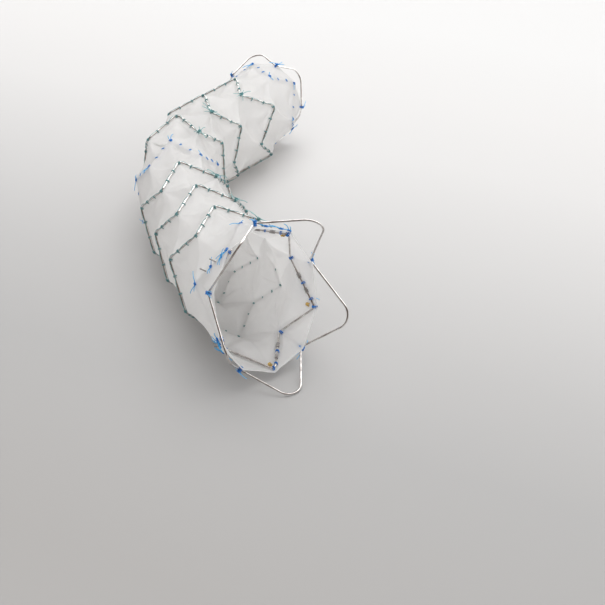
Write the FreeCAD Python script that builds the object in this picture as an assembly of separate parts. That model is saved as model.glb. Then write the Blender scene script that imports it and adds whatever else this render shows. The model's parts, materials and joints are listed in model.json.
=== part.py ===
"""Stent graft extension: a woven polyester tube held open by zigzag stents of nitinol wire.

The tube bends in a slow S and lies on its side. Bare stents stand out of both ends. The stent
at each end and the middle one are sewn inside the wall, and the others are sewn outside it.
Lengths are in millimetres and angles in degrees. +Z is up. The near opening faces -Y and +X.
Angles round the tube are seen from the near opening: 0 is to the right and 90 is up.
"""
import FreeCAD, Part
import math
import os

from FreeCAD import Vector

os.makedirs("parts", exist_ok=True)

# Fabric tube: radius to the middle of the wall
body_radius = 15.3
near_flare = 3.7
flare_length = 28.8
far_taper = 0.7
near_oval = 0.115
far_oval = 0.048
wall = 0.3
fold_depth = 1.35
fold_variation = 0.3
fold_phases = (2.4, 1.7)

# Stents
stent_count = 9
peak_count = 5
stent_pitch = 19.3
stent_height = 10.7
inner_stents = (1, 5, 9)
wire_diameter = 0.56
wire_clearance = 0.15
corner_radius = 1.3
peak_angle = 124.1

# Bare stents: each peak's height past the edge and its spread, in order round the tube
near_bare_heights = (11.0, 11.0, 11.5, 12.0, 14.0)
near_bare_spreads = (1.27, 1.27, 1.27, 1.27, 1.34)
far_bare_heights = (10.2, 10.2, 10.2, 10.2, 10.2)
far_bare_spreads = (1.08, 1.08, 1.08, 1.08, 1.08)
bare_peak_radius = 4.2
valley_radius = 1.1
valley_overlap = 1.7
valley_clearance = 0.22

# Centreline: headings at even steps from the near edge to the far edge, 0 is +Y
headings = (-36.0, -19.5, -18.0, 4.0, 36.0, 8.0)
near_rise = 1.15
rise_length = 46.0
total_twist = 14.2
centreline_steps = 332

# Crimped sleeves and barbs on the near seal stent
sleeve_diameter = 0.95
sleeve_length = 1.5
sleeve_places = (0.34, 0.64)
sleeve_bore_clearance = 0.01
barb_diameter = 0.4
barb_angle = 38.0
barb_length = 2.6
barb_hole_clearance = 0.07

# Gold markers sewn inside both edges
marker_diameter = 1.05
marker_bore = 0.6
marker_length = 0.9
marker_inset = 2.7

# Sewing thread
thread = 0.22
thread_clearance = 0.04
corner_stitch = 2.1
stitch_pitch = 3.9
bar_reach = 0.55

wire_radius = wire_diameter / 2
sleeve_radius = sleeve_diameter / 2
marker_radius = marker_diameter / 2
columns = 2 * peak_count
column_step = 360.0 / columns
covered_length = (stent_count - 1) * stent_pitch + stent_height
station_step = covered_length / centreline_steps


def clamp(value, low, high):
    return max(low, min(high, value))


def heading_at(share):
    """Smooth curve through the headings, in degrees, at a share of the covered length."""
    spans = len(headings) - 1
    before = 2 * headings[0] - headings[1]
    after = 2 * headings[-1] - headings[-2]
    values = (before,) + tuple(headings) + (after,)
    first = min(int(clamp(share, 0.0, 1.0) * spans), spans - 1)
    u = clamp(share, 0.0, 1.0) * spans - first
    a, b, c, d = values[first:first + 4]
    return 0.5 * (2 * b + (c - a) * u + (2 * a - 5 * b + 4 * c - d) * u ** 2
                  + (3 * b - a - 3 * c + d) * u ** 3)


def tube_radius(s):
    s = clamp(s, 0.0, covered_length)
    return body_radius - far_taper * s / covered_length + near_flare * math.exp(-s / flare_length)


def oval_at(s):
    share = clamp(s, 0.0, covered_length) / covered_length
    return near_oval + (far_oval - near_oval) * share


def axis_height(s):
    """Height of the centreline, so that the underside of the tube lies level."""
    rise = near_rise * max(1.0 - s / rise_length, 0.0) ** 2
    return tube_radius(s) * (1.0 + oval_at(s)) + rise


def make_stations():
    """Points of the centreline, each with its direction, upward and sideways unit vectors."""
    stations = []
    point = Vector(0, 0, axis_height(0.0))
    up = Vector(0, 0, 1)
    for index in range(centreline_steps + 1):
        s = index * station_step
        climb = (axis_height(s + station_step) - axis_height(s)) / station_step
        level = math.sqrt(1.0 - climb ** 2)
        turn = math.radians(heading_at(s / covered_length))
        along = Vector(level * math.sin(turn), level * math.cos(turn), climb)
        up = (up - along * up.dot(along)).normalize()
        stations.append((Vector(point), along, Vector(up), along.cross(up)))
        point = point + along * station_step
    return stations


stations = make_stations()


def station_at(s):
    """Centreline frame at a length s, straight on past both edges."""
    inside = clamp(s, 0.0, covered_length)
    first = min(int(inside / station_step), centreline_steps - 1)
    u = inside / station_step - first
    blend = [a * (1 - u) + b * u for a, b in zip(stations[first], stations[first + 1])]
    blend[0] = blend[0] + blend[1] * (s - inside)
    return blend


def on_tube(s, angle, spread=1.0, out=0.0):
    point, along, up, side = station_at(s)
    radius = tube_radius(s) * spread + out
    oval = oval_at(s)
    turn = math.radians(angle + total_twist * clamp(s, 0.0, covered_length) / covered_length)
    return (point + side * (radius * (1 - oval) * math.cos(turn))
            + up * (radius * (1 + oval) * math.sin(turn)))


def column_angle(column):
    return peak_angle + column_step * column


def ring_places():
    """Rings of the folded tube: place along it, and which columns the wire holds out."""
    rings = [(0.0, "all")]
    for stent in range(stent_count):
        start = stent * stent_pitch
        if stent > 0:
            rings.append((start, "even"))
        if stent < stent_count - 1:
            rings.append((start + stent_height, "odd"))
    rings.append((covered_length, "all"))
    return rings


rings = ring_places()


def is_held(ring, column):
    held = rings[ring][1]
    return held == "all" or (held == "even") == (column % 2 == 0)


def wall_point(ring, column):
    """Middle of the wall: held out at the wire, and sunk in a fold between the wires."""
    s = rings[ring][0]
    if is_held(ring, column):
        return on_tube(s, column_angle(column))
    uneven = 1.0 + fold_variation * math.sin(fold_phases[0] * ring + fold_phases[1] * column)
    return on_tube(s, column_angle(column), out=-fold_depth * uneven)


wall_points = [[wall_point(ring, column) for column in range(columns)] for ring in range(len(rings))]


def wall_triangles():
    """Corners (ring, column) of every facet. Each crease joins two points that the wire holds."""
    triangles = []
    for ring in range(len(rings) - 1):
        stent_band = ring % 2 == 0
        for column in range(columns):
            a, b = (ring, column), (ring, (column + 1) % columns)
            c, d = (ring + 1, column), (ring + 1, (column + 1) % columns)
            if stent_band == (column % 2 == 0):
                triangles += [(a, c, d), (a, d, b)]
            else:
                triangles += [(a, c, b), (b, c, d)]
    return triangles


triangles = wall_triangles()


def facet_normal(points, triangle):
    p, q, r = (points[ring][column] for ring, column in triangle)
    return (q - p).cross(r - p).normalize()


wall_normals = {triangle: facet_normal(wall_points, triangle) for triangle in triangles}
point_facets = {}
for triangle in triangles:
    for corner in triangle:
        point_facets.setdefault(corner, []).append(triangle)


def mean_normal(facets, normals):
    total = Vector()
    for facet in facets:
        total = total + normals[facet]
    return total.normalize()


def skin_point(ring, column, side):
    """Corner of the outer (side 1) or inner (side -1) skin."""
    normal = mean_normal(point_facets[ring, column], wall_normals)
    return wall_points[ring][column] + normal * (side * wall / 2)


skin = {side: [[skin_point(ring, column, side) for column in range(columns)]
               for ring in range(len(rings))] for side in (1, -1)}
skin_normals = {side: {facet: facet_normal(skin[side], facet) for facet in triangles} for side in (1, -1)}


def skin_at(corner, side):
    return skin[side][corner[0]][corner[1]]


def make_fabric():
    """Closed wall of flat facets: outer skin, inner skin and a narrow rim at each edge."""
    loops = []
    for a, b, c in triangles:
        loops.append((skin_at(a, 1), skin_at(b, 1), skin_at(c, 1)))
        loops.append((skin_at(a, -1), skin_at(c, -1), skin_at(b, -1)))
    for ring, turned in ((0, False), (len(rings) - 1, True)):
        for column in range(columns):
            a, b = (ring, column), (ring, (column + 1) % columns)
            rim = [(skin_at(a, 1), skin_at(b, 1), skin_at(b, -1)),
                   (skin_at(a, 1), skin_at(b, -1), skin_at(a, -1))]
            loops += [loop[::-1] for loop in rim] if turned else rim
    faces = [Part.Face(Part.makePolygon([p, q, r, p])) for p, q, r in loops]
    shell = Part.makeShell(faces)
    shell.sewShape()
    solid = Part.makeSolid(Part.Shell(shell.Faces))
    if solid.Volume < 0:
        solid.reverse()
    return solid


def rounded_path(corners, radii):
    """Closed path of straight runs joined by arcs: a list of edges."""
    count = len(corners)
    starts, arcs, ends = [], [], []
    for index, corner in enumerate(corners):
        back = (corners[index - 1] - corner).normalize()
        ahead = (corners[(index + 1) % count] - corner).normalize()
        half = back.getAngle(ahead) / 2
        reach = radii[index] / math.tan(half)
        middle = (back + ahead).normalize() * (radii[index] / math.sin(half) - radii[index])
        starts.append(corner + back * reach)
        ends.append(corner + ahead * reach)
        arcs.append(Part.Arc(starts[-1], corner + middle, ends[-1]).toShape())
    edges = []
    for index in range(count):
        edges.append(arcs[index])
        edges.append(Part.makeLine(ends[index], starts[(index + 1) % count]))
    return edges


def bent_wire(corners, radii, radius):
    """Round wire along a closed path, as one solid: two swept halves, welded."""
    edges = rounded_path(corners, radii)
    halves = []
    for run in (edges[:len(corners)], edges[len(corners):]):
        start = run[0].Vertexes[0].Point
        ahead = run[0].tangentAt(run[0].FirstParameter)
        section = Part.Face(Part.Wire([Part.makeCircle(radius, start, ahead)]))
        halves.append(Part.Wire(run).makePipe(section))
    return halves[0].fuse(halves[1])


def lift_off(facets, side, normal, distance):
    """Height along normal at which a round wire stays this far from every facet's plane."""
    return distance / min(skin_normals[side][facet].dot(normal) for facet in facets)


def strut_facets(start, end):
    """The two facets that share the crease from one corner to another."""
    return [facet for facet in point_facets[start] if end in facet]


def stent_rings(stent):
    """Ring numbers of a stent's near and far corners."""
    first = 2 * (stent - 1)
    return first, first + 1


def stent_corners(stent):
    """Corner keys of a zigzag, in order round the tube."""
    near, far = stent_rings(stent)
    return [(near if column % 2 == 0 else far, column) for column in range(columns)]


def wire_corner(corner, neighbours, side, distance):
    facets = [facet for other in neighbours for facet in strut_facets(corner, other)]
    normal = mean_normal(facets, skin_normals[side])
    return skin_at(corner, side) + normal * (side * lift_off(facets, side, normal, distance))


def stent_path(stent):
    """Wire corners of a covered stent, clear of the skin that it is sewn to."""
    side = -1 if stent in inner_stents else 1
    carried = sleeve_radius if stent == 1 else wire_radius
    keys = stent_corners(stent)
    path = []
    for index, key in enumerate(keys):
        neighbours = (keys[index - 1], keys[(index + 1) % columns])
        path.append(wire_corner(key, neighbours, side, carried + wire_clearance))
    return path


def bare_path(near):
    """Corners of a bare stent: valleys lie on the tube's outer skin, peaks stand out past it."""
    edge_ring = 0 if near else len(rings) - 1
    edge = 0.0 if near else covered_length
    outward = -1 if near else 1
    heights = near_bare_heights if near else far_bare_heights
    spreads = near_bare_spreads if near else far_bare_spreads
    path, radii = [], []
    for column in range(columns):
        valley = (column % 2 == 1) == near
        if valley:
            key = (edge_ring, column)
            inner = (edge_ring - outward, column)
            facets = strut_facets(key, inner)
            normal = mean_normal(facets, skin_normals[1])
            along = (skin_at(inner, 1) - skin_at(key, 1)).normalize()
            lift = lift_off(facets, 1, normal, wire_radius + valley_clearance)
            path.append(skin_at(key, 1) + along * valley_overlap + normal * lift)
            radii.append(valley_radius)
        else:
            peak = column // 2
            place = edge + outward * heights[peak]
            path.append(on_tube(place, column_angle(column), spreads[peak]))
            radii.append(bare_peak_radius)
    return path, radii


def cross_frame(along, normal):
    up = (normal - along * normal.dot(along)).normalize()
    return up, along.cross(up)


def surface_drop(facet, side, up, across, sign):
    """Slope of a facet, away from the crease, seen along the crease."""
    normal = skin_normals[side][facet] * side
    return -normal.dot(across) * sign / normal.dot(up)


def stitch_frame(start, end, wire_start, wire_end, side, place):
    """Local frame of a stitch on a strut, and the slopes of the fabric on both sides of it."""
    along = (wire_end - wire_start).normalize()
    facets = strut_facets(start, end)
    up, across = cross_frame(along, mean_normal(facets, skin_normals[side]) * side)
    centre = wire_start + along * place
    crease = skin_at(start, side)
    height = (centre - crease).dot(up)
    slopes = {}
    for facet in facets:
        third = [corner for corner in facet if corner not in (start, end)][0]
        sign = 1 if (skin_at(third, side) - crease).dot(across) > 0 else -1
        slopes[sign] = surface_drop(facet, side, up, across, sign)
    return centre, along, up, across, height, slopes


def extrude_profile(points, arcs, along):
    """Prism from an outline. arcs maps an edge's first point to the point the arc passes."""
    edges = []
    for index, point in enumerate(points):
        following = points[(index + 1) % len(points)]
        if index in arcs:
            edges.append(Part.Arc(point, arcs[index], following).toShape())
        else:
            edges.append(Part.makeLine(point, following))
    face = Part.Face(Part.Wire(edges))
    solid = face.extrude(along)
    if solid.Volume < 0:
        solid.reverse()
    return solid


def make_stitch(frame):
    """Turn of thread over the wire, with both ends on the fabric."""
    centre, along, up, across, height, slopes = frame
    inner = wire_radius + thread_clearance
    outer = inner + thread
    base = centre - along * (thread / 2)

    def at(x, z):
        return base + across * x + up * z

    def floor(x):
        return thread_clearance - height + slopes[1 if x > 0 else -1] * abs(x)

    points = [at(-outer, floor(-outer)), at(-outer, 0), at(outer, 0), at(outer, floor(outer)),
              at(inner, floor(inner)), at(inner, 0), at(-inner, 0), at(-inner, floor(-inner))]
    return extrude_profile(points, {1: at(0, outer), 5: at(0, inner)}, along * thread)


def make_bar(frame):
    """Bar of thread on the far side of the fabric from the wire."""
    centre, along, up, across, height, slopes = frame
    base = centre - along * (thread / 2) - up * (height + wall + thread_clearance)

    def at(x, z):
        drop = slopes[1 if x > 0 else -1] * abs(x) if x else 0.0
        return base + across * x + up * (z + drop)

    points = [at(-bar_reach, 0), at(0, 0), at(bar_reach, 0),
              at(bar_reach, -thread), at(0, -thread), at(-bar_reach, -thread)]
    return extrude_profile(points, {}, along * thread)


def stitch_places(length, skipped):
    """Places along a strut: one beside each corner, and the rest evenly between them."""
    span = length - 2 * corner_stitch
    gaps = max(int(round(span / stitch_pitch)), 1)
    places = [corner_stitch + span * index / gaps for index in range(gaps + 1)]
    room = sleeve_length / 2 + thread
    return [place for place in places if all(abs(place - other) > room for other in skipped)]


def struts_of(stent):
    """Every strut: its two corner keys and the two ends of its wire."""
    keys = stent_corners(stent)
    path = stent_path(stent)
    return [(keys[i], keys[(i + 1) % columns], path[i], path[(i + 1) % columns]) for i in range(columns)]


def barbed(strut):
    """Every other strut of the seal stent carries barbs: those from an even column."""
    return strut[0][1] % 2 == 0


def sew_stent(stent, lowest):
    """Stitches along the whole zigzag. Those under the tube keep above its lowest wire."""
    side = -1 if stent in inner_stents else 1
    solids = []
    for strut in struts_of(stent):
        start, end, wire_start, wire_end = strut
        length = (wire_end - wire_start).Length
        skipped = [share * length for share in sleeve_places] if stent == 1 and barbed(strut) else []
        for place in stitch_places(length, skipped):
            frame = stitch_frame(start, end, wire_start, wire_end, side, place)
            stitch = make_stitch(frame)
            if stitch.BoundBox.ZMin < lowest:
                continue
            solids.append(stitch)
            if side < 0:
                solids.append(make_bar(frame))
    return solids


def sew_valleys(near):
    """A turn of thread over each valley of a bare stent."""
    path = bare_path(near)[0]
    edge_ring = 0 if near else len(rings) - 1
    inner_ring = 1 if near else edge_ring - 1
    solids = []
    for column in range(columns):
        if (column % 2 == 1) != near:
            continue
        corner = path[column]
        back = (path[column - 1] - corner).normalize()
        ahead = (path[(column + 1) % columns] - corner).normalize()
        half = back.getAngle(ahead) / 2
        bottom = corner + (back + ahead).normalize() * (valley_radius / math.sin(half) - valley_radius)
        facets = strut_facets((edge_ring, column), (inner_ring, column))
        along = (ahead - back).normalize()
        up, across = cross_frame(along, mean_normal(facets, skin_normals[1]))
        height = (bottom - skin_at((edge_ring, column), 1)).dot(up)
        solids.append(make_stitch((bottom, along, up, across, height, {1: 0.0, -1: 0.0})))
    return solids


def make_sleeves_and_barbs():
    sleeves, barbs, holes = [], [], []
    for strut in struts_of(1):
        if not barbed(strut):
            continue
        start, end, wire_start, wire_end = strut
        along = (wire_end - wire_start).normalize()
        length = (wire_end - wire_start).Length
        outward, across = cross_frame(along, mean_normal(strut_facets(start, end), skin_normals[-1]))
        lengthwise = (skin_at(end, 1) - skin_at((start[0], end[1]), 1)).normalize()
        lengthwise = (lengthwise - outward * lengthwise.dot(outward)).normalize()
        lean = math.radians(barb_angle)
        direction = lengthwise * math.cos(lean) + outward * math.sin(lean)
        for share in sleeve_places:
            centre = wire_start + along * (share * length)
            base = centre - along * (sleeve_length / 2)
            outer = Part.makeCylinder(sleeve_radius, sleeve_length, base, along)
            bore = Part.makeCylinder(wire_radius + sleeve_bore_clearance, sleeve_length, base, along)
            seat = wire_radius + sleeve_bore_clearance * 2 + barb_diameter / 2 * math.cos(lean)
            root = centre + outward * seat
            barb = Part.makeCylinder(barb_diameter / 2, barb_length, root, direction)
            hole_radius = barb_diameter / 2 + barb_hole_clearance
            holes.append(Part.makeCylinder(hole_radius, barb_length, root, direction))
            sleeves.append(outer.cut(bore).cut(barb))
            barbs.append(barb)
    return sleeves, barbs, holes


def make_markers(near):
    """Short gold tubes inside the wall, each just inside a peak of the end stent."""
    edge_ring = 0 if near else len(rings) - 1
    inner_ring = 1 if near else edge_ring - 1
    solids = []
    for column in range(columns):
        if (column % 2 == 0) != near:
            continue
        key, inner = (edge_ring, column), (inner_ring, column)
        facets = strut_facets(key, inner)
        normal = mean_normal(facets, skin_normals[-1])
        along = (skin_at(inner, -1) - skin_at(key, -1)).normalize()
        sink = lift_off(facets, -1, normal, marker_radius + wire_clearance)
        base = skin_at(key, -1) + along * (marker_inset - marker_length / 2) - normal * sink
        outer = Part.makeCylinder(marker_radius, marker_length, base, along)
        bore = Part.makeCylinder(marker_bore / 2, marker_length, base, along)
        solids.append(outer.cut(bore))
    return solids


nodes = {}
nodes["near_bare_stent"] = bent_wire(*bare_path(True), wire_radius)
nodes["far_bare_stent"] = bent_wire(*bare_path(False), wire_radius)
names = {1: "near_seal_stent", 5: "middle_inner_stent", 9: "far_seal_stent"}
for stent in range(1, stent_count + 1):
    names.setdefault(stent, "outer_stent_%d" % (stent - (1 if stent < 5 else 2)))
    nodes[names[stent]] = bent_wire(stent_path(stent), [corner_radius] * columns, wire_radius)
lowest = Part.makeCompound(list(nodes.values())).optimalBoundingBox().ZMin

sleeves, barbs, holes = make_sleeves_and_barbs()
nodes["graft_fabric"] = make_fabric().cut(Part.makeCompound(holes))
nodes["crimp_sleeves"] = Part.makeCompound(sleeves)
nodes["barbs"] = Part.makeCompound(barbs)
nodes["near_gold_markers"] = Part.makeCompound(make_markers(True))
nodes["far_gold_markers"] = Part.makeCompound(make_markers(False))
nodes["near_edge_stitches"] = Part.makeCompound(sew_valleys(True))
nodes["far_edge_stitches"] = Part.makeCompound(sew_valleys(False))
for stent in range(1, stent_count + 1):
    nodes[names[stent] + "_stitches"] = Part.makeCompound(sew_stent(stent, lowest))

whole = Part.makeCompound(list(nodes.values())).optimalBoundingBox()
origin = Vector(whole.Center.x, whole.Center.y, lowest)
for name, shape in nodes.items():
    shape.translate(origin * -1)
    shape.exportStep("parts/" + name + ".step")
    print(name, len(shape.Solids), round(shape.Volume, 3), shape.isValid())
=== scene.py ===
"""Stent graft extension, dressed for the picture: folded woven wall, drawn wire, sewing and knots."""
import json
import math
import random

import bpy
import numpy as np
from mathutils import Matrix, Vector, noise

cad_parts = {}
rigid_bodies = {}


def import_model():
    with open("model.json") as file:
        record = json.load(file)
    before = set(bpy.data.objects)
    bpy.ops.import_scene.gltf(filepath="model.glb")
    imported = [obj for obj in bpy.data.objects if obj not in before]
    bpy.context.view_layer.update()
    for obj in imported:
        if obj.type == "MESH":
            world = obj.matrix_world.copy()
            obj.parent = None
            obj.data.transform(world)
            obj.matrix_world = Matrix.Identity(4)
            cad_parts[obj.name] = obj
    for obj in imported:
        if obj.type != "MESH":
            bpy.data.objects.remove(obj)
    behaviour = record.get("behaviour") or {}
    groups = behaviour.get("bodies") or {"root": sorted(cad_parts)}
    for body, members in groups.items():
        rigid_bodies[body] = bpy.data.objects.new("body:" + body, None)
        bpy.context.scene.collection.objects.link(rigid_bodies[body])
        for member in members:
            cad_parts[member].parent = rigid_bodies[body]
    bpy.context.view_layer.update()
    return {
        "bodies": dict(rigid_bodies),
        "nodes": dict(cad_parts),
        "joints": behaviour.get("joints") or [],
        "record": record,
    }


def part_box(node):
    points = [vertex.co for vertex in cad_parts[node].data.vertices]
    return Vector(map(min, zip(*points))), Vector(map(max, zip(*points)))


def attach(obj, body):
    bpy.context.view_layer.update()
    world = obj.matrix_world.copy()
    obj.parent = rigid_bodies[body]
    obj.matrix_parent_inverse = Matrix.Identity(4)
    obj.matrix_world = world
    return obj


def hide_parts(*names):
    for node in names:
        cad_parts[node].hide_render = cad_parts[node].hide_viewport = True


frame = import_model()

# Camera. A long lens looks down into the wide mouth, with the far end of the tube running away
# up the picture. Lengths below are in millimetres unless a name says otherwise, and MM turns
# them into metres.
MM = 0.001
image_width = 605
focal_length_px = 1298.3
camera_tilt = 31.785
camera_point = (20.59, -368.63, 206.87)

camera_data = bpy.data.cameras.new("camera")
camera_data.sensor_width = 36.0
camera_data.lens = focal_length_px / image_width * camera_data.sensor_width
camera_data.clip_start = 0.01
camera = bpy.data.objects.new("camera", camera_data)
camera.location = Vector(camera_point) * MM
camera.rotation_euler = (math.radians(90 - camera_tilt), 0, 0)
bpy.context.scene.collection.objects.link(camera)
bpy.context.scene.camera = camera

# Graft tube. The wall is white polyester woven as one seamless tube. Nine rings of zigzag wire
# hold it out, so it lies in flat facets between them, with pleats that run from the sewn corners.
body_radius = 15.3
near_flare = 3.7
flare_length = 28.8
far_taper = 0.7
near_oval = 0.115
far_oval = 0.048
wall = 0.3
fold_depth = 1.35
fold_variation = 0.3
fold_phases = (2.4, 1.7)
stent_count = 9
stent_pitch = 19.3
stent_height = 10.7
peak_angle = 124.1
columns = 10
column_step = 360.0 / columns
headings = (-36.0, -19.5, -18.0, 4.0, 36.0, 8.0)
near_rise = 1.15
rise_length = 46.0
total_twist = 14.2
centreline_steps = 332
covered_length = (stent_count - 1) * stent_pitch + stent_height
station_step = covered_length / centreline_steps
cloth_steps = 17


def heading_at(share):
    """Smooth curve through the headings, in degrees, at a share of the covered length."""
    spans = len(headings) - 1
    values = (2 * headings[0] - headings[1],) + headings + (2 * headings[-1] - headings[-2],)
    place = min(max(share, 0.0), 1.0) * spans
    first = min(int(place), spans - 1)
    u = place - first
    a, b, c, d = values[first:first + 4]
    return 0.5 * (2 * b + (c - a) * u + (2 * a - 5 * b + 4 * c - d) * u ** 2
                  + (3 * b - a - 3 * c + d) * u ** 3)


def tube_radius(s):
    """Mean radius at a distance along the tube, with a slight taper and a flare at the near edge."""
    s = min(max(s, 0.0), covered_length)
    return body_radius - far_taper * s / covered_length + near_flare * math.exp(-s / flare_length)


def oval_at(s):
    """How much taller and narrower than round the tube is, as a share of its radius."""
    share = min(max(s, 0.0), covered_length) / covered_length
    return near_oval + (far_oval - near_oval) * share


def axis_height(s):
    """Height of the centreline over the floor. The near end rises a little off it."""
    return tube_radius(s) * (1.0 + oval_at(s)) + near_rise * max(1.0 - s / rise_length, 0.0) ** 2


def unit(vector):
    return vector / np.linalg.norm(vector, axis=-1, keepdims=True)


def make_stations():
    """Points of the centreline, each with its direction, upward and sideways unit vectors."""
    rows = []
    point = np.array((0.0, 0.0, axis_height(0.0)))
    up = np.array((0.0, 0.0, 1.0))
    for index in range(centreline_steps + 1):
        s = index * station_step
        climb = (axis_height(s + station_step) - axis_height(s)) / station_step
        level = math.sqrt(1.0 - climb ** 2)
        turn = math.radians(heading_at(s / covered_length))
        along = np.array((level * math.sin(turn), level * math.cos(turn), climb))
        up = unit(up - along * up.dot(along))
        rows.append((point, along, up, np.cross(along, up)))
        point = point + along * station_step
    return np.array(rows)


stations = make_stations()


def on_tube(s, angle, spread=1.0, out=0.0):
    """Point at a distance along the tube and an angle round it, also past the edges."""
    inside = min(max(s, 0.0), covered_length)
    first = min(int(inside / station_step), centreline_steps - 1)
    u = inside / station_step - first
    point, along, up, side = stations[first] * (1 - u) + stations[first + 1] * u
    radius = tube_radius(s) * spread + out
    oval = oval_at(s)
    turn = math.radians(angle + total_twist * inside / covered_length)
    return (point + along * (s - inside) + side * (radius * (1 - oval) * math.cos(turn))
            + up * (radius * (1 + oval) * math.sin(turn)))


ring_places = [0.0]
for stent in range(stent_count):
    ring_places += [stent * stent_pitch] if stent else []
    ring_places += [stent * stent_pitch + stent_height]
ring_count = len(ring_places)


def is_held(ring, column):
    """Whether wire holds this point of the wall out, as at the bends of a stent and at both edges."""
    return ring in (0, ring_count - 1) or (ring + column) % 2 == 0


def wall_point(ring, column):
    """Middle of the wall: held out at the wire, and sunk in a fold between the wires."""
    angle = peak_angle + column_step * column
    if is_held(ring, column):
        return on_tube(ring_places[ring], angle)
    uneven = 1.0 + fold_variation * math.sin(fold_phases[0] * ring + fold_phases[1] * column)
    return on_tube(ring_places[ring], angle, out=-fold_depth * uneven)


wall_points = np.array([[wall_point(r, c) for c in range(columns)] for r in range(ring_count)])


def wall_triangles():
    """Corners (ring, column) of every facet. Each crease joins two points that the wire holds."""
    facets = []
    for ring in range(ring_count - 1):
        for column in range(columns):
            a, b = (ring, column), (ring, (column + 1) % columns)
            c, d = (ring + 1, column), (ring + 1, (column + 1) % columns)
            if (ring + column) % 2 == 0:
                facets += [(a, c, d), (a, d, b)]
            else:
                facets += [(a, c, b), (b, c, d)]
    return facets


facets = wall_triangles()
point_facets = {}
for facet in facets:
    for corner in facet:
        point_facets.setdefault(corner, []).append(facet)


def facet_normal(points, facet):
    p, q, r = (points[ring, column] for ring, column in facet)
    return unit(np.cross(q - p, r - p))


def mean_normal(some, normals):
    return unit(sum(normals[facet] for facet in some))


wall_normals = {facet: facet_normal(wall_points, facet) for facet in facets}
corner_normals = np.array([[mean_normal(point_facets[r, c], wall_normals) for c in range(columns)]
                           for r in range(ring_count)])
skin = {side: wall_points + corner_normals * (side * wall / 2) for side in (1, -1)}
skin_normals = {side: {facet: facet_normal(skin[side], facet) for facet in facets} for side in (1, -1)}
cloth_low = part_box("graft_fabric")[0]
shift = np.array(cloth_low) / MM - skin[1].min(axis=(0, 1))


def spread_over(corners):
    """Fine grid of points over the facets, from the values at the corners."""
    rows = cloth_steps * (ring_count - 1) + 1
    cols = cloth_steps * columns
    row, col = np.meshgrid(np.arange(rows), np.arange(cols), indexing="ij")
    ring = np.minimum(row // cloth_steps, ring_count - 2)
    column = col // cloth_steps
    v = (row / cloth_steps - ring)[..., None]
    u = (col / cloth_steps - column)[..., None]
    a, b = corners[ring, column], corners[ring, (column + 1) % columns]
    c, d = corners[ring + 1, column], corners[ring + 1, (column + 1) % columns]
    rising = ((ring + column) % 2 == 0)[..., None]
    upper = a + v * (c - a) + u * (d - c)
    lower = a + u * (b - a) + v * (d - b)
    near_half = a + u * (b - a) + v * (c - a)
    far_half = d + (1 - u) * (c - d) + (1 - v) * (b - d)
    return np.where(rising, np.where(v > u, upper, lower), np.where(u + v < 1, near_half, far_half))


outer_skin = spread_over(skin[1])
inner_skin = spread_over(skin[-1])
rows, cols = outer_skin.shape[:2]
row, col = np.meshgrid(np.arange(rows), np.arange(cols), indexing="ij")
place_along = np.interp(row / cloth_steps, np.arange(ring_count), ring_places)
turn_round = 2 * math.pi * col / cols


def grid_normals(grid):
    """Outward direction at every point of the grid."""
    round_it = np.roll(grid, -1, axis=1) - np.roll(grid, 1, axis=1)
    return unit(np.cross(np.gradient(grid, axis=0), round_it))


# Cloth that no wire holds sinks a little further in, which deepens the folds between the stents,
# most of all just past the far side of each stent.
extra_sink = (0.3, 1.2)
sinks = np.array([[0.0 if is_held(r, c) else extra_sink[r % 2] for c in range(columns)]
                  for r in range(ring_count)])
middle = (outer_skin + inner_skin) / 2
out = grid_normals(middle)
middle = middle - out * spread_over(sinks[..., None])


def unrolled_from(ring, column):
    """Flat distances round and along the tube from one corner to every point of the cloth."""
    s = ring_places[ring]
    turned = turn_round - math.radians(column_step * column)
    turned = (turned + math.pi) % (2 * math.pi) - math.pi
    return turned * tube_radius(s), place_along - s


# Distance from each point of the cloth to the nearest sewn strut. Close to it the cloth can't
# leave the wire, and a little further off it is free to fold.
bound_within = 0.6
freed_over = 1.3
strut_distance = np.full((rows, cols), np.inf)
for ring in range(0, ring_count - 1, 2):
    rise = ring_places[ring + 1] - ring_places[ring]
    for column in range(columns):
        x, y = unrolled_from(ring, column)
        span = math.radians(column_step) * tube_radius(ring_places[ring])
        if column % 2:
            y = rise - y
        length = math.hypot(span, rise)
        t = np.clip((x * span + y * rise) / length, 0, length)
        gap = np.hypot(x - t * span / length, y - t * rise / length)
        strut_distance = np.minimum(strut_distance, gap)
freedom = np.clip((strut_distance - bound_within) / freed_over, 0, 1)
freedom = freedom * freedom * (3 - 2 * freedom)

# Folds fan out from every corner that is sewn to a wire: the ridges are taut and straight, and the
# cloth sinks in between them. The hem stays nearly straight.
fold_reach = (9.0, 13.0)
fold_slope = 0.38
fold_strength = (0.4, 1.0)
fold_gain = 1.5
fold_scatter = 0.4
folds_per_corner = 7
hem_reach = 8.0
hem_share = 0.06
dice = random.Random(23)
folds = np.zeros((rows, cols))
for ring in range(ring_count):
    for column in range(columns):
        if not is_held(ring, column):
            continue
        x, y = unrolled_from(ring, column)
        distance = np.hypot(x, y)
        places = [number + dice.uniform(-fold_scatter, fold_scatter) for number in range(folds_per_corner)]
        angles = [place / folds_per_corner * 2 * math.pi - math.pi for place in places]
        slopes = [-fold_slope * dice.uniform(*fold_strength) if number % 2 else 0.0
                  for number in range(folds_per_corner)]
        slope = np.interp(np.arctan2(y, x), angles, slopes, period=2 * math.pi)
        fade = np.clip(1 - distance / dice.uniform(*fold_reach), 0, 1)
        folds += distance * slope * fade * fold_gain

from_hem = np.minimum(place_along, covered_length - place_along)
folds *= np.clip((from_hem / hem_reach) ** 2, hem_share, 1)

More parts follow.
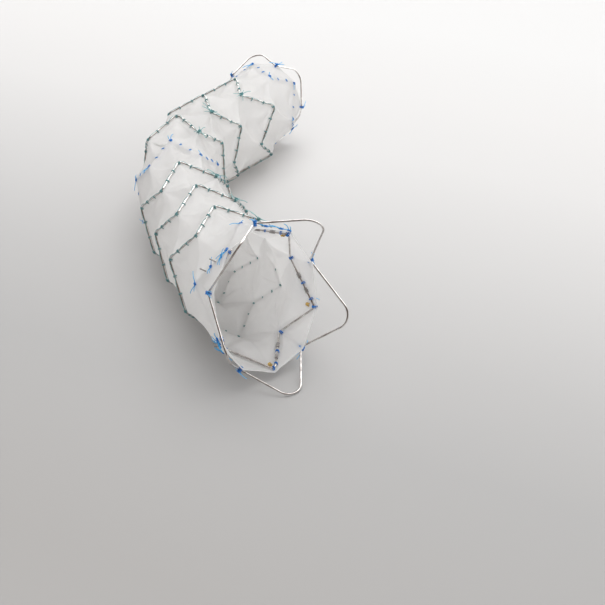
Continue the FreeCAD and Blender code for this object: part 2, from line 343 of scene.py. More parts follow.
# All of the cloth crumples a little, in broad swells with sharp crests, and is finely uneven. Each
# of these is read from its own part of the noise.
crumple_size = 5.5
crumple_depth = 0.2
swell_from = Vector((3.1, 0, 7.7))
crest_from = Vector((9.0, 4.0, 1.0))
crest_scale = 1.7
crest_share = 1.1
fine_size = 1.9
fine_depth = 0.05
slack = np.zeros((rows, cols))
for i in range(rows):
    for j in range(cols):
        p = Vector(middle[i, j])
        swell = noise.noise(p / crumple_size + swell_from)
        crest = abs(noise.noise(p / crumple_size * crest_scale + crest_from))
        fine = fine_depth * noise.noise(p / fine_size)
        slack[i, j] = crumple_depth * (swell - crest_share * crest) + fine

# The thread that ties each bare stent gathers the hem into short fine ribs.
gather_start = 1.5
gather_reach = 6.5
gather_depth = 0.17
gather_ribs = 26
for ring, first in ((0, 1), (ring_count - 1, 0)):
    for column in range(first, columns, 2):
        x, y = unrolled_from(ring, column)
        distance = np.hypot(x, y)
        ribs = np.abs((np.arctan2(y, x) * gather_ribs / (2 * math.pi) * 2) % 2 - 1) - 0.5
        fade = np.clip(distance / gather_start, 0, 1) * np.clip(1 - distance / gather_reach, 0, 1)
        slack += gather_depth * ribs * fade

# The cloth takes its folds, is eased a little from point to point, and stays off the floor.
middle = middle + out * ((folds + slack) * freedom)[..., None]
smoothing = 0.15
around = (np.roll(middle, 1, axis=1) + np.roll(middle, -1, axis=1)) / 2
lengthwise = middle.copy()
lengthwise[1:-1] = (middle[:-2] + middle[2:]) / 2
middle = middle + ((around + lengthwise) / 2 - middle) * (smoothing * freedom)[..., None]
middle[..., 2] = np.maximum(middle[..., 2], wall / 2 - shift[2])


def cloth_mesh(name, middle, through):
    """Closed wall: the outer face, the inner face and a narrow hem at both edges."""
    points = np.concatenate([(middle + through / 2).reshape(-1, 3), (middle - through / 2).reshape(-1, 3)])
    index = np.arange(rows * cols).reshape(rows, cols)
    a, b = index[:-1], np.roll(index, -1, axis=1)[:-1]
    c, d = index[1:], np.roll(index, -1, axis=1)[1:]
    rising = ((row[:-1] // cloth_steps + col[:-1] // cloth_steps) % 2 == 0)[..., None]
    first = np.where(rising, np.stack([a, c, d], -1), np.stack([a, c, b], -1)).reshape(-1, 3)
    second = np.where(rising, np.stack([a, d, b], -1), np.stack([b, c, d], -1)).reshape(-1, 3)
    outside = np.concatenate([first, second])
    faces = outside.tolist() + (outside[:, ::-1] + rows * cols).tolist()
    for edge, turned in ((index[0], False), (index[-1], True)):
        ahead = np.roll(edge, -1)
        hem = np.stack([edge, ahead, ahead + rows * cols, edge + rows * cols], -1)
        faces += (hem[:, ::-1] if turned else hem).tolist()
    mesh = bpy.data.meshes.new(name)
    mesh.from_pydata(((points + shift) * MM).tolist(), [], faces)
    pattern = mesh.uv_layers.new(name="pattern")
    width = 2 * math.pi * body_radius / covered_length
    u = np.tile(turn_round.ravel() / (2 * math.pi), 2)
    v = np.tile(place_along.ravel() / covered_length, 2)
    for polygon in mesh.polygons:
        across = [u[vertex] for vertex in polygon.vertices]
        at_seam = max(across) - min(across) > 0.5
        for loop, vertex in zip(polygon.loop_indices, polygon.vertices):
            place = u[vertex] + (1.0 if at_seam and u[vertex] < 0.5 else 0.0)
            pattern.data[loop].uv = (place * width, v[vertex])
    mesh.shade_smooth()
    return mesh


def new_material(name):
    material = bpy.data.materials.new(name)
    material.use_nodes = True
    nodes = material.node_tree.nodes
    return material, nodes, material.node_tree.links, nodes["Principled BSDF"]


def add_node(nodes, kind, **sockets):
    node = nodes.new(kind)
    for socket, value in sockets.items():
        node.inputs[socket.replace("_", " ")].default_value = value
    return node


def add_tone(nodes, low, high, dark, light):
    """Colour ramp from dark, at low, to light, at high."""
    tone = nodes.new("ShaderNodeValToRGB")
    tone.color_ramp.elements[0].position = low
    tone.color_ramp.elements[1].position = high
    tone.color_ramp.elements[0].color = (*dark, 1)
    tone.color_ramp.elements[1].color = (*light, 1)
    return tone


def woven_polyester():
    """White cloth: a fine plain weave, slight greying in patches, and light that comes through it."""
    material, nodes, links, shader = new_material("woven_polyester")
    shader.inputs["Roughness"].default_value = 0.6
    shader.inputs["Sheen Weight"].default_value = 0.1
    shader.inputs["Sheen Roughness"].default_value = 0.4
    shader.inputs["Specular IOR Level"].default_value = 0.35
    place = nodes.new("ShaderNodeTexCoord")
    waves = []
    for direction in ("X", "Y"):
        wave = add_node(nodes, "ShaderNodeTexWave", Scale=207.0, Distortion=0.3, Detail=1.0)
        wave.bands_direction = direction
        links.new(place.outputs["UV"], wave.inputs["Vector"])
        waves.append(wave)
    weave = nodes.new("ShaderNodeMath")
    weave.operation = "MULTIPLY"
    links.new(waves[0].outputs["Fac"], weave.inputs[0])
    links.new(waves[1].outputs["Fac"], weave.inputs[1])
    bump = add_node(nodes, "ShaderNodeBump", Strength=0.3, Distance=0.00003)
    links.new(weave.outputs[0], bump.inputs["Height"])
    links.new(bump.outputs["Normal"], shader.inputs["Normal"])
    patches = add_node(nodes, "ShaderNodeTexNoise", Scale=110.0, Detail=3.0, Roughness=0.55)
    links.new(place.outputs["Object"], patches.inputs["Vector"])
    tone = add_tone(nodes, 0.35, 0.65, (0.945, 0.94, 0.935), (0.98, 0.975, 0.97))
    links.new(patches.outputs["Fac"], tone.inputs["Fac"])
    links.new(tone.outputs["Color"], shader.inputs["Base Color"])
    through = nodes.new("ShaderNodeBsdfTranslucent")
    links.new(tone.outputs["Color"], through.inputs["Color"])
    mix = add_node(nodes, "ShaderNodeMixShader", Fac=0.72)
    links.new(shader.outputs[0], mix.inputs[1])
    links.new(through.outputs[0], mix.inputs[2])
    links.new(mix.outputs[0], nodes["Material Output"].inputs["Surface"])
    return material


def patchy_metal(name, patches, tone, rough, relief=0.0):
    """Metal with patches of another tone and roughness, and with shallow relief in them if asked."""
    material, nodes, links, shader = new_material(name)
    shader.inputs["Metallic"].default_value = 1.0
    place = nodes.new("ShaderNodeTexCoord")
    pattern = add_node(nodes, "ShaderNodeTexNoise", **patches)
    links.new(place.outputs["Object"], pattern.inputs["Vector"])
    colour = add_tone(nodes, *tone)
    links.new(pattern.outputs["Fac"], colour.inputs["Fac"])
    links.new(colour.outputs["Color"], shader.inputs["Base Color"])
    spread = add_node(nodes, "ShaderNodeMapRange", To_Min=rough[0], To_Max=rough[1])
    links.new(pattern.outputs["Fac"], spread.inputs["Value"])
    links.new(spread.outputs["Result"], shader.inputs["Roughness"])
    if relief:
        bump = add_node(nodes, "ShaderNodeBump", Strength=relief, Distance=0.00004)
        links.new(pattern.outputs["Fac"], bump.inputs["Height"])
        links.new(bump.outputs["Normal"], shader.inputs["Normal"])
    return material


def refinish(name, material):
    """Give a solid of the frame, which is shown as it is, another material."""
    for slot in frame["nodes"][name].material_slots:
        slot.material = material


def add_piece(name, mesh, material, slot, *replaced):
    """Show a mesh as a piece of its own, in place of the solids that it replaces."""
    piece = bpy.data.objects.new(name, mesh)
    bpy.context.scene.collection.objects.link(piece)
    if material:
        piece.data.materials.append(material)
    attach(piece, "root")
    if replaced:
        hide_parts(*replaced)
    return piece


graft = add_piece("graft_cloth", cloth_mesh("graft_cloth", middle, outer_skin - inner_skin),
                  woven_polyester(), "graft_fabric", "graft_fabric")

# Stent wire. Drawn nickel-titanium, electropolished to a bright steel grey that mirrors the room
# as light and brown-black streaks. Each stent is one closed zigzag, bent and joined on itself, and
# is shown as the solid that it is.
wire_names = {1: "near_seal_stent", 5: "middle_inner_stent", 9: "far_seal_stent"}
inner_stents = tuple(wire_names)
outer_stents = (2, 3, 4, 6, 7, 8)
for number, stent in enumerate(outer_stents):
    wire_names[stent] = "outer_stent_%d" % (number + 1)
wire_finish = patchy_metal("polished_wire", {"Scale": 420.0, "Detail": 3.0, "Roughness": 0.6},
                           (0.3, 0.62, (0.42, 0.38, 0.36), (0.80, 0.78, 0.76)), (0.10, 0.22))
for name in list(wire_names.values()) + ["near_bare_stent", "far_bare_stent"]:
    refinish(name, wire_finish)

# Crimped sleeves and barbs. Short steel tubes are crimped on the near seal stent, and each holds a
# cut length of steel wire that pokes out through the cloth to grip the vessel.
steel = patchy_metal("crimped_steel", {"Scale": 900.0, "Detail": 4.0, "Roughness": 0.7},
                     (0.35, 0.7, (0.30, 0.28, 0.27), (0.62, 0.61, 0.60)), (0.22, 0.5), relief=0.4)
refinish("crimp_sleeves", steel)
refinish("barbs", steel)

# Gold markers. Short lengths of gold tube are sewn inside both edges, so that X-rays show where
# the cloth ends. Handling has left them slightly dull.
gold = patchy_metal("soft_gold", {"Scale": 700.0, "Detail": 3.0, "Roughness": 0.6},
                    (0.3, 0.7, (0.62, 0.40, 0.12), (0.90, 0.66, 0.26)), (0.18, 0.38))
refinish("near_gold_markers", gold)
refinish("far_gold_markers", gold)

# Green sewing. One braided polyester thread ties each outer stent down. It runs along the wire,
# and every few millimetres it dives through the cloth and makes a lump of turns over the wire.
wire_radius = 0.28
wire_clearance = 0.15
corner_radius = 1.3
sleeve_radius = 0.475
thread_radius = 0.1
thread_sides = 5
stitch_shares = (0.34, 0.67)
line_step = 0.5
line_end = 1.0
bend_steps = 4
turning_room = 1.5


def strut_facets(start, end):
    """The two facets that meet under the strut between two corners."""
    return [facet for facet in point_facets[start] if end in facet]


def lift_off(some, side, normal, distance):
    """How far to go along the normal to be a distance away from every one of some facets."""
    return distance / min(skin_normals[side][facet].dot(normal) for facet in some)


def stent_corners(stent):
    """Corners (ring, column) of the wall that a stent's bends are sewn to, in order."""
    near = 2 * (stent - 1)
    return [(near + column % 2, column) for column in range(columns)]


def wire_height(stent):
    """Height of a stent's wire over the cloth. The first stands higher, on its sleeves."""
    return (sleeve_radius if stent == 1 else wire_radius) + wire_clearance


def stent_path(stent):
    """Corners of a stent's wire, with the direction away from the cloth at each corner."""
    side = -1 if stent in inner_stents else 1
    keys = stent_corners(stent)
    path, away = [], []
    for index, key in enumerate(keys):
        some = strut_facets(key, keys[index - 1]) + strut_facets(key, keys[(index + 1) % columns])
        normal = mean_normal(some, skin_normals[side])
        path.append(skin[side][key] + normal * side * lift_off(some, side, normal, wire_height(stent)))
        away.append(normal * side)
    return np.array(path), np.array(away)


def strut_up(stent, column, along):
    """Direction away from the cloth on one strut, square to its wire."""
    side = -1 if stent in inner_stents else 1
    keys = stent_corners(stent)
    some = strut_facets(keys[column], keys[(column + 1) % columns])
    normal = mean_normal(some, skin_normals[side]) * side
    return unit(normal - along * normal.dot(along))


def wire_line(stent):
    """Fine line along a stent's wire: points, directions along it and away from the cloth."""
    path, away = stent_path(stent)
    points, ups = [], []
    for column in range(columns):
        corner, following = path[column], path[(column + 1) % columns]
        back, ahead = unit(path[column - 1] - corner), unit(following - corner)
        half = math.acos(np.clip(back.dot(ahead), -1, 1)) / 2
        reach = corner_radius / math.tan(half)
        centre = corner + unit(back + ahead) * corner_radius / math.sin(half)
        first, last = corner + back * reach, corner + ahead * reach
        for share in np.arange(bend_steps) / bend_steps:
            chord = first + (last - first) * share - centre
            points.append(centre + unit(chord) * corner_radius)
            ups.append(away[column])
        length = np.linalg.norm(following - corner) - reach
        run = np.arange(reach, length - line_end, line_step)
        up = strut_up(stent, column, ahead)
        for place in run:
            share = min(1.0, (place - reach) / turning_room)
            points.append(corner + ahead * place)
            ups.append(unit(away[column] * (1 - share) + up * share))
    points, ups = np.array(points), np.array(ups)
    along = unit(np.roll(points, -1, axis=0) - np.roll(points, 1, axis=0))
    return points, along, unit(ups - along * (ups * along).sum(axis=1, keepdims=True))


def corner_frames(stent):
    """Top of each bend of the wire: a point, the way along the wire, and away from the cloth."""
    path, away = stent_path(stent)
    frames = []
    for column, corner in enumerate(path):
        back, ahead = unit(path[column - 1] - corner), unit(path[(column + 1) % columns] - corner)
        half = math.acos(np.clip(back.dot(ahead), -1, 1)) / 2
        top = corner + unit(back + ahead) * (corner_radius / math.sin(half) - corner_radius)
        along = unit(ahead - back)
        frames.append((top, along, unit(away[column] - along * away[column].dot(along))))
    return frames


def strut_frames(stent, shares):
    """The same for places along the struts. Each column gives them as shares of its strut."""
    path = stent_path(stent)[0]
    frames = []
    for column in range(columns):
        start, end = path[column], path[(column + 1) % columns]
        along = unit(end - start)
        up = strut_up(stent, column, along)
        frames += [(start + (end - start) * share, along, up) for share in shares[column]]
    return frames


def line_mesh(lines):
    """Mesh of edges only, from lines of points in mm, each point with its girth and paleness."""
    points, edges, girth, pale = [], [], [], []
    for line, closed in lines:
        first = len(points)
        points += [tuple(np.array(place) * MM) for place, _, _ in line]
        girth += [thick for _, thick, _ in line]
        pale += [light for _, _, light in line]
        count = len(line)
        edges += [(first + i, first + (i + 1) % count) for i in range(count if closed else count - 1)]
    mesh = bpy.data.meshes.new("thread_line")
    mesh.from_pydata(points, edges, [])
    for name, values in (("girth", girth), ("pale", pale)):
        mesh.attributes.new(name, "FLOAT", "POINT").data.foreach_set("value", values)
    return mesh


def new_tree(name, inputs):
    """Empty geometry tree with named inputs, and its two end nodes."""
    tree = bpy.data.node_groups.new(name, "GeometryNodeTree")
    tree.interface.new_socket("Geometry", in_out="OUTPUT", socket_type="NodeSocketGeometry")
    tree.interface.new_socket("Geometry", in_out="INPUT", socket_type="NodeSocketGeometry")
    for label, kind in inputs:
        tree.interface.new_socket(label, in_out="INPUT", socket_type=kind)
    return tree, tree.nodes.new("NodeGroupInput"), tree.nodes.new("NodeGroupOutput")


def named_attribute(tree, name, kind):
    node = tree.nodes.new("GeometryNodeInputNamedAttribute")
    node.data_type = kind
    node.inputs["Name"].default_value = name
    return node.outputs["Attribute"]


def finish_tree(tree, geometry, given, result):
    """Every tree ends the same way: real geometry, with the piece's own material."""
    realize = tree.nodes.new("GeometryNodeRealizeInstances")
    finish = tree.nodes.new("GeometryNodeSetMaterial")
    tree.links.new(geometry, realize.inputs[0])
    tree.links.new(realize.outputs[0], finish.inputs["Geometry"])
    tree.links.new(given.outputs["Finish"], finish.inputs["Material"])
    tree.links.new(finish.outputs[0], result.inputs[0])


def make_thread_tree():
    """Thread along path: a round thread on every line, thicker or thinner by its girth."""
    tree, given, result = new_tree("thread_along_path", (
        ("Thread Radius", "NodeSocketFloat"), ("Sides", "NodeSocketInt"), ("Finish", "NodeSocketMaterial")))
    nodes, links = tree.nodes, tree.links
    line = nodes.new("GeometryNodeMeshToCurve")
    section = nodes.new("GeometryNodeCurvePrimitiveCircle")
    sweep = nodes.new("GeometryNodeCurveToMesh")
    smooth = nodes.new("GeometryNodeSetShadeSmooth")
    sweep.inputs["Fill Caps"].default_value = True
    links.new(given.outputs["Geometry"], line.inputs["Mesh"])
    links.new(given.outputs["Thread Radius"], section.inputs["Radius"])
    links.new(given.outputs["Sides"], section.inputs["Resolution"])
    links.new(line.outputs["Curve"], sweep.inputs["Curve"])
    links.new(section.outputs["Curve"], sweep.inputs["Profile Curve"])
    links.new(named_attribute(tree, "girth", "FLOAT"), sweep.inputs["Scale"])
    links.new(sweep.outputs["Mesh"], smooth.inputs["Geometry"])
    finish_tree(tree, smooth.outputs[0], given, result)
    return tree


def make_stitch_tree():
    """Stitch on points: one stitch at every point, turned as the point says, a little uneven."""
    tree, given, result = new_tree("stitch_on_points", (
        ("Stitch", "NodeSocketObject"), ("Smallest", "NodeSocketFloat"), ("Largest", "NodeSocketFloat"),
        ("Seed", "NodeSocketInt"), ("Finish", "NodeSocketMaterial")))
    nodes, links = tree.nodes, tree.links
    shape = nodes.new("GeometryNodeObjectInfo")
    size = nodes.new("FunctionNodeRandomValue")
    turned = nodes.new("FunctionNodeEulerToRotation")
    place = nodes.new("GeometryNodeInstanceOnPoints")
    links.new(given.outputs["Stitch"], shape.inputs["Object"])
    links.new(given.outputs["Smallest"], size.inputs[2])
    links.new(given.outputs["Largest"], size.inputs[3])
    links.new(given.outputs["Seed"], size.inputs["Seed"])
    links.new(named_attribute(tree, "facing", "FLOAT_VECTOR"), turned.inputs[0])
    links.new(given.outputs["Geometry"], place.inputs["Points"])
    links.new(shape.outputs["Geometry"], place.inputs["Instance"])
    links.new(turned.outputs[0], place.inputs["Rotation"])
    links.new(size.outputs[1], place.inputs["Scale"])
    finish_tree(tree, place.outputs[0], given, result)
    return tree


thread_tree = make_thread_tree()
stitch_tree = make_stitch_tree()


def grow(tree, mesh, **inputs):
    """Plain mesh that a tree makes of a mesh."""
    holder = bpy.data.objects.new("holder", mesh)
    bpy.context.scene.collection.objects.link(holder)
    modifier = holder.modifiers.new("grow", "NODES")
    modifier.node_group = tree
    for item in tree.interface.items_tree:
        value = inputs.get(item.name.replace(" ", "_"))
        if item.in_out == "INPUT" and value is not None:
            modifier[item.identifier] = value
    holder.update_tag()
    depsgraph = bpy.context.evaluated_depsgraph_get()
    grown = bpy.data.meshes.new_from_object(holder.evaluated_get(depsgraph),
                                            preserve_all_data_layers=True, depsgraph=depsgraph)
    bpy.data.objects.remove(holder)
    return grown


def stitch_points(frames):
    """Points with the turn of each stitch: x along the wire and z away from the cloth."""
    mesh = bpy.data.meshes.new("stitch_points")
    mesh.from_pydata([tuple((place + shift) * MM) for place, _, _ in frames], [], [])
    turns = []
    for _, along, up in frames:
        turns += Matrix((along, np.cross(up, along), up)).transposed().to_euler()
    mesh.attributes.new("facing", "FLOAT_VECTOR", "POINT").data.foreach_set("vector", turns)
    return mesh


# Turns over a wire, each with its offset along it, its lean and its girth. The third is only in
# a lump. Below them come the two bars that the thread makes behind the cloth.
wire_turns = ((-0.12, 0.06, 0.95), (0.11, -0.05, 0.95), (0.34, 0.04, 1.05))
turn_angles = (180, 140, 100, 80, 40, 0)
tuck = 0.1
bar_offset = 0.13
bar_lean = 0.08
bar_reach = 0.48
bar_sag = 0.02
bar_ends = 0.9
bar_girth = 1.3
bar_paleness = 0.3


def arch(offset, lean, girth, height):
    """One turn over a wire at the origin, from the cloth on one side to the other."""
    reach = wire_radius + thread_radius
    line = [((offset - lean, -reach, -height - tuck), girth, 0.0)]
    for angle in turn_angles:
        turn = math.radians(angle)
        x = offset + lean * math.cos(turn)
        line.append(((x, reach * math.cos(turn), reach * math.sin(turn)), girth, 0.0))
    line.append(((offset + lean, reach, -height - tuck), girth, 0.0))
    return line


def stitch_object(height, finish, lump):
    """Turns over the wire, three in a lump or two alone, and the bars they make behind the cloth."""
    lines = [(arch(*turn, height), False) for turn in wire_turns[:3 if lump else 2]]
    behind = -height - wall - thread_radius * 0.7
    for offset in (-bar_offset, bar_offset):
        bar = [((offset - bar_lean, -bar_reach, behind + bar_sag), bar_ends, bar_paleness),
               ((offset, 0.0, behind), bar_girth, bar_paleness),
               ((offset + bar_lean, bar_reach, behind + bar_sag), bar_ends, bar_paleness)]
        lines.append((bar, False))
    mesh = grow(thread_tree, line_mesh(lines), Thread_Radius=thread_radius * MM, Sides=thread_sides,
                Finish=finish)
    return bpy.data.objects.new("stitch", mesh)


def braided_thread(name, dark, mid, pale):
    """Braided thread: darker in the hollows of its braid, which is painted shade, and paler by each point's
    paleness, most of all where a cut end has frayed.
    """
    material, nodes, links, shader = new_material(name)
    shader.inputs["Specular IOR Level"].default_value = 0.4
    shader.inputs["Roughness"].default_value = 0.5
    place = nodes.new("ShaderNodeTexCoord")
    braid = add_node(nodes, "ShaderNodeTexNoise", Scale=2600.0, Detail=2.0, Roughness=0.6)
    links.new(place.outputs["Object"], braid.inputs["Vector"])
    # The braid's noise also darkens the colour where its bump is low: painted shade in the hollows of the
    # braid.
    tone = add_tone(nodes, 0.35, 0.65, dark, mid)
    links.new(braid.outputs["Fac"], tone.inputs["Fac"])
    frayed = nodes.new("ShaderNodeAttribute")
    frayed.attribute_name = "pale"
    blend = nodes.new("ShaderNodeMix")
    blend.data_type = "RGBA"
    blend.inputs["B"].default_value = (*pale, 1)
    links.new(frayed.outputs["Fac"], blend.inputs["Factor"])
    links.new(tone.outputs["Color"], blend.inputs["A"])
    links.new(blend.outputs["Result"], shader.inputs["Base Color"])
    bump = add_node(nodes, "ShaderNodeBump", Strength=0.5, Distance=0.00004)
    links.new(braid.outputs["Fac"], bump.inputs["Height"])
    links.new(bump.outputs["Normal"], shader.inputs["Normal"])
    return material


def joined(meshes, name):
    """One mesh out of several, with their one material. Thread under the tube lies flat on the floor."""
    makers = [bpy.data.objects.new(name, mesh) for mesh in meshes]
    for maker in makers:
        bpy.context.scene.collection.objects.link(maker)
    with bpy.context.temp_override(active_object=makers[0], selected_editable_objects=makers):
        bpy.ops.object.join()
    mesh = makers[0].data
    bpy.data.objects.remove(makers[0])
    for vertex in mesh.vertices:
        vertex.co.z = max(vertex.co.z, 0.0)
    return mesh


def sewn(height, frames, finish, lump, seed):
    """Plain mesh of one kind of stitch, at all its frames."""
    stitch = stitch_object(height, finish, lump)
    mesh = grow(stitch_tree, stitch_points(frames), Stitch=stitch, Smallest=0.95, Largest=1.12,
                Seed=seed, Finish=finish)
    bpy.data.objects.remove(stitch)
    return mesh


knot_kinds = 7
knot_width = 0.5
knot_steps = 18
knot_height = 0.2
knot_depth = 0.17
knot_girth = 1.25
knot_paleness = 0.05
knot_room = 4.5
no_knot_faces = (0.31, 0.45, 0.83)
tail_length = (1.6, 3.6)
tail_lift = (0.05, 0.4)
tail_spread = 0.9
tail_curl = 0.9
tail_steps = 5
tail_girth = 1.15
tail_taper = 0.35
tail_paleness = 0.25
tail_fraying = 1.3


def knot_object(number):
    """A small loose knot with a bunch of frayed tails that fan out over the cloth."""
    dice = random.Random(100 + number)
    knot = []
    for step in range(knot_steps):
        t = 2 * math.pi * step / knot_steps
        x = (math.sin(t) + 2 * math.sin(2 * t)) * knot_width / 3
        y = (math.cos(t) - 2 * math.cos(2 * t)) * knot_width / 3 * dice.uniform(0.8, 1.2)
        knot.append(((x, y, knot_height - knot_depth * math.sin(3 * t)), knot_girth, knot_paleness))
    lines = [(knot, True)]
    bunch = dice.uniform(0, 2 * math.pi)
    for tail in range(dice.choice((1, 2, 3))):
        heading = bunch + dice.choice((0, 0, 0, math.pi)) + dice.uniform(-tail_spread, tail_spread)
        length = dice.uniform(*tail_length)
        curl = dice.uniform(-tail_curl, tail_curl)
        lift = dice.uniform(*tail_lift)
        x, y, z = 0.0, 0.0, knot_height
        line = []
        for step in range(tail_steps + 1):
            share = step / tail_steps
            paleness = min(1.0, tail_paleness + tail_fraying * share)
            line.append(((x, y, z), tail_girth - tail_taper * share, paleness))
            heading += curl / tail_steps
            x += math.cos(heading) * length / tail_steps
            y += math.sin(heading) * length / tail_steps
            z = knot_height + lift * math.sin(share * 3.0) + 0.1 * share
        lines.append((line, False))
    mesh = grow(thread_tree, line_mesh(lines), Thread_Radius=thread_radius * MM, Sides=thread_sides)
    return bpy.data.objects.new("knot", mesh)


knots = [knot_object(number) for number in range(knot_kinds)]
knot_turn = random.Random(5)


def knot_frame(place, up):
    """A knot lies on the cloth and is turned at random about the way it faces."""
    turned = knot_turn.uniform(0, 2 * math.pi)
    first = unit(np.cross(up, no_knot_faces))
    along = first * math.cos(turned) + np.cross(up, first) * math.sin(turned)
    return place, along, up


def tied(frames, seed, finish):
    """Knots of every kind, shared out over the frames that have room above the floor."""
    frames = [frame for frame in frames if (frame[0] + shift)[2] > knot_room]
    return [grow(stitch_tree, stitch_points(frames[number::len(knots)]), Stitch=knot, Smallest=0.85,
                 Largest=1.25, Seed=seed + number, Finish=finish)
            for number, knot in enumerate(knots) if frames[number::len(knots)]]


# The first of the three colours is the painted shade in the braid's hollows, and the last is the pale of
# frayed ends.
green_finish = braided_thread("green_thread", (0.045, 0.15, 0.16), (0.11, 0.30, 0.31), (0.26, 0.49, 0.49))

# From one stitch to the next the thread crosses over the wire, from one side of it to the other,
# and its two ends are tied at one bend.
run_angle = math.radians(64)
run_lift = 1.04
run_girth = 0.75
run_paleness = 0.45
end_column = 8
for stent in outer_stents:
    bends = corner_frames(stent)
    frames = strut_frames(stent, [stitch_shares] * columns)
    lumps = sewn(wire_height(stent), bends, green_finish, True, stent)
    turns = sewn(wire_height(stent), frames, green_finish, False, 20 + stent)
    points, along, up = wire_line(stent)
    place = np.concatenate([[0], np.cumsum(np.linalg.norm(np.diff(points, axis=0), axis=1))])
    spots = sorted(place[np.linalg.norm(points - spot, axis=1).argmin()] for spot, _, _ in bends + frames)
    number = np.interp(place, spots, np.arange(len(spots)), left=-0.5, right=len(spots) - 0.5)
    swing = run_angle * np.cos(math.pi * number)
    reach = (wire_radius + thread_radius) * run_lift
    across = np.cross(up, along)
    run = points + shift + (up * np.cos(swing)[:, None] + across * np.sin(swing)[:, None]) * reach
    line = [(point, run_girth, run_paleness) for point in run]
    running = grow(thread_tree, line_mesh([(line, True)]), Thread_Radius=thread_radius * MM,
                   Sides=thread_sides, Finish=green_finish)
    spot, _, away = bends[end_column]
    end = knot_frame(spot + away * (wire_radius + thread_radius), away)
    ends = tied([end] * 2, 60 + stent, green_finish)
    name = wire_names[stent]
    add_piece(name + "_sewing", joined([lumps, turns, running] + ends, name + "_sewing"), None,
              "green_thread", name + "_stitches")

# Blue sewing. The same stitch in blue ties the inner stents. Outside, over each corner and between
# the barbs, the thread ends in knots with short frayed tails.
plain_shares = {1: (), 5: stitch_shares, 9: stitch_shares}
barbed_shares = (0.17, 0.49)
knot_gap = 0.05
# The first of the three colours is the painted shade in the braid's hollows, and the last is the pale of
# frayed ends.
blue_finish = braided_thread("blue_thread", (0.006, 0.09, 0.36), (0.014, 0.22, 0.68), (0.07, 0.43, 0.78))
for stent in inner_stents:
    height = wire_height(stent)
    barbed = [barbed_shares if stent == 1 and column % 2 == 0 else () for column in range(columns)]
    shares = [some or plain_shares[stent] for some in barbed]
    bends = corner_frames(stent)
    meshes = [sewn(height, bends, blue_finish, True, 30 + stent),
              sewn(height, strut_frames(stent, shares), blue_finish, False, 50 + stent)]
    out_by = height + wall + knot_gap
    knotted = [knot_frame(spot - up * out_by, -up) for spot, _, up in bends + strut_frames(stent, barbed)]
    meshes += tied(knotted, stent * 10, blue_finish)
    name = wire_names[stent]
    add_piece(name + "_sewing", joined(meshes, name + "_sewing"), None, "blue_thread", name + "_stitches")

# Edge sewing. Each valley of a bare stent is bound to the hem with a few turns and a knot.
valley_radius = 1.1
valley_overlap = 1.7
valley_clearance = 0.22
edge_knot_lift = 0.15
near_bare_heights = (11.0, 11.0, 11.5, 12.0, 14.0)
near_bare_spreads = (1.27, 1.27, 1.27, 1.27, 1.34)
far_bare_heights = (10.2,) * 5
far_bare_spreads = (1.08,) * 5


def valley_frames(near):
    """Lowest point of each valley of a bare stent, across the tube and away from the cloth."""
    edge = 0 if near else ring_count - 1
    outward = -1 if near else 1
    heights = near_bare_heights if near else far_bare_heights
    spreads = near_bare_spreads if near else far_bare_spreads
    path, normals = [], []
    for column in range(columns):
        if (column % 2 == 1) == near:
            key, inner = (edge, column), (edge - outward, column)
            some = strut_facets(key, inner)
            normal = mean_normal(some, skin_normals[1])
            along = unit(skin[1][inner] - skin[1][key])
            path.append(skin[1][key] + along * valley_overlap
                        + normal * lift_off(some, 1, normal, wire_radius + valley_clearance))
            normals.append(normal)
        else:
            peak = column // 2
            place = ring_places[edge] + outward * heights[peak]
            path.append(on_tube(place, peak_angle + column_step * column, spreads[peak]))
            normals.append(None)
    frames = []
    for column, normal in enumerate(normals):
        if normal is None:
            continue
        corner = path[column]
        back, ahead = unit(path[column - 1] - corner), unit(path[(column + 1) % columns] - corner)
        half = math.acos(back.dot(ahead)) / 2
        bottom = corner + unit(back + ahead) * (valley_radius / math.sin(half) - valley_radius)
        along = unit(ahead - back)
        frames.append((bottom, along, unit(normal - along * normal.dot(along))))
    return frames


for near, name in ((True, "near_edge"), (False, "far_edge")):
    frames = valley_frames(near)
    meshes = [sewn(wire_radius + valley_clearance, frames, blue_finish, True, 70 + near)]
    knotted = [knot_frame(spot + up * (wire_radius + edge_knot_lift), up) for spot, _, up in frames]
    meshes += tied(knotted, 50 + near, blue_finish)
    add_piece(name + "_sewing", joined(meshes, name + "_sewing"), None, "blue_thread", name + "_stitches")
for knot in knots:
    bpy.data.objects.remove(knot)

# Floor. The part lies on a pale matt surface, larger than the picture shows. Its colour carries painted
# shade: it turns greyer towards the near side and a little towards the left, standing in for light that
# falls off that way.
floor_size = 3.0
half = floor_size / 2
floor_mesh = bpy.data.meshes.new("floor")
floor_mesh.from_pydata([(-half, -half, 0), (half, -half, 0), (half, half, 0), (-half, half, 0)], [],
                       [(0, 1, 2, 3)])
floor = bpy.data.objects.new("floor", floor_mesh)
bpy.context.scene.collection.objects.link(floor)


def pointing(nodes, links, vector, direction):
    """How far a vector points in a direction."""
    dot = nodes.new("ShaderNodeVectorMath")
    dot.operation = "DOT_PRODUCT"
    dot.inputs[1].default_value = direction
    links.new(vector, dot.inputs[0])
    return dot.outputs["Value"]


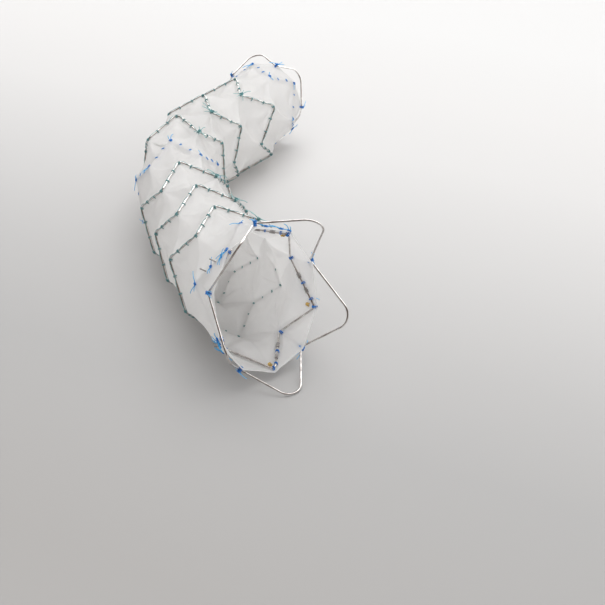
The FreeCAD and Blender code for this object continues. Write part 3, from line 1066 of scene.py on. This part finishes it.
def pale_surface():
    """Matt off-white, with painted shade: a slow change of tone across it, darker towards the near side and
    the left.
    """
    material, nodes, links, shader = new_material("pale_surface")
    shader.inputs["Roughness"].default_value = 0.8
    place = nodes.new("ShaderNodeTexCoord")
    # The tone ramp darkens the floor towards the near side and a little towards the left: painted shade for
    # the fall-off of the light.
    fade = add_node(nodes, "ShaderNodeMapRange", From_Min=-0.16, From_Max=0.24)
    links.new(pointing(nodes, links, place.outputs["Object"], (0.55, 1.0, 0)), fade.inputs["Value"])
    tone = add_tone(nodes, 0.0, 1.0, (0.395, 0.383, 0.374), (0.73, 0.725, 0.72))
    for share, value in ((0.19, 0.42), (0.31, 0.475), (0.48, 0.58), (0.65, 0.67), (0.8, 0.705)):
        stop = tone.color_ramp.elements.new(share)
        stop.color = (value, value * 0.985, value * 0.975, 1)
    links.new(fade.outputs["Result"], tone.inputs["Fac"])
    links.new(tone.outputs["Color"], shader.inputs["Base Color"])
    return material


floor_mesh.materials.append(pale_surface())

# Light. One broad soft lamp hangs overhead, a little behind the part, in a room that is brighter in
# front. Polished metal mirrors a darker room with a bright window at the back instead.
lamp_data = bpy.data.lights.new("soft_box", "AREA")
lamp_data.shape = "RECTANGLE"
lamp_data.size = 1.3
lamp_data.size_y = 1.3
lamp_data.energy = 12.6
lamp = bpy.data.objects.new("soft_box", lamp_data)
lamp.location = (0.05, 0.45, 1.22)
lamp.rotation_euler = (Vector((0, 0, 0)) - lamp.location).to_track_quat("-Z", "Y").to_euler()
lamp.visible_glossy = False
bpy.context.scene.collection.objects.link(lamp)

room_front = (0.25, -0.72, 0.65)
room_brightness = 1.37
window_place = (0.30, 0.78, 0.55)
window_brightness = 2.6
backdrop_tone = (0.93, 0.93, 0.93, 1)


def scaled(nodes, links, colour, factor):
    """A colour times a factor."""
    times = nodes.new("ShaderNodeVectorMath")
    times.operation = "SCALE"
    times.inputs["Scale"].default_value = factor
    links.new(colour, times.inputs[0])
    return times.outputs[0]


def light_room():
    """World that lights the part, is mirrored in metal and shows as plain pale grey behind it."""
    world = bpy.data.worlds.new("room")
    world.use_nodes = True
    nodes, links = world.node_tree.nodes, world.node_tree.links
    direction = nodes.new("ShaderNodeTexCoord").outputs["Generated"]
    ray = nodes.new("ShaderNodeLightPath")
    soft_room = add_tone(nodes, 0.1, 1.0, (0.15, 0.148, 0.147), (1.0, 1.0, 1.0))
    links.new(pointing(nodes, links, direction, room_front), soft_room.inputs["Fac"])
    streaks = add_tone(nodes, 0.30, 0.72, (0.05, 0.038, 0.032), (1.0, 1.0, 1.0))
    streaks.color_ramp.elements.new(0.58).color = (0.22, 0.20, 0.19, 1)
    links.new(pointing(nodes, links, direction, window_place), streaks.inputs["Fac"])
    pick = nodes.new("ShaderNodeMix")
    pick.data_type = "RGBA"
    links.new(ray.outputs["Is Glossy Ray"], pick.inputs["Factor"])
    links.new(scaled(nodes, links, soft_room.outputs["Color"], room_brightness), pick.inputs["A"])
    links.new(scaled(nodes, links, streaks.outputs["Color"], window_brightness), pick.inputs["B"])
    shown = nodes.new("ShaderNodeMix")
    shown.data_type = "RGBA"
    shown.inputs["B"].default_value = backdrop_tone
    links.new(ray.outputs["Is Camera Ray"], shown.inputs["Factor"])
    links.new(pick.outputs["Result"], shown.inputs["A"])
    links.new(shown.outputs["Result"], nodes["Background"].inputs["Color"])
    return world


bpy.context.scene.world = light_room()
bpy.context.scene.view_settings.view_transform = "Standard"
